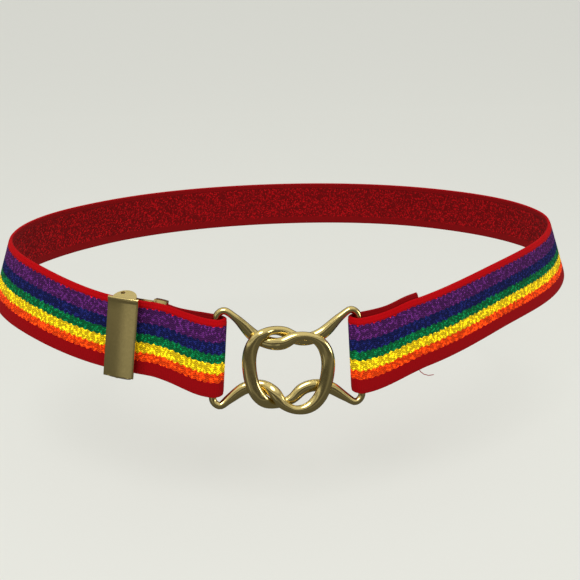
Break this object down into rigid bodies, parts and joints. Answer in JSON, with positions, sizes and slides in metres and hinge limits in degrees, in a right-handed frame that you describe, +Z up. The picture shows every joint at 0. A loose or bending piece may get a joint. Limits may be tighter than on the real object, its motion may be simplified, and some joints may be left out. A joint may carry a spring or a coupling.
{
  "type": "stretch belt",
  "caption": "Closed elastic webbing belt with lengthwise stripes, an interlocking ring clasp at the front and a hinged clamp adjuster beside it.",
  "frame": {"origin": "centre of the waist hollow, at the height of the belt's front", "axes": "+X towards the wearer's left, along the belt's longest extent; +Y from the clasp to the back; +Z up out of the waist hollow"},
  "size_m": [0.3525, 0.2158, 0.0759],
  "materials": {
    "webbing": "woven",
    "clasp_metal": "polished",
    "adjuster_metal": "polished"
  },
  "bodies": {
    "belt": {"strap": "webbing", "buckle_left": "clasp_metal", "buckle_right": "clasp_metal", "adjuster_frame": "adjuster_metal"},
    "lever": {"adjuster_lever": "adjuster_metal"}
  },
  "joints": [
    {"name": "lever_hinge", "type": "hinge", "parent": "belt", "child": "lever", "pos_m": [-0.09977, -0.07162, 0.01808], "axis": [-0.1613, -0.2262, -0.9606], "range_deg": [0, 38]}
  ]
}
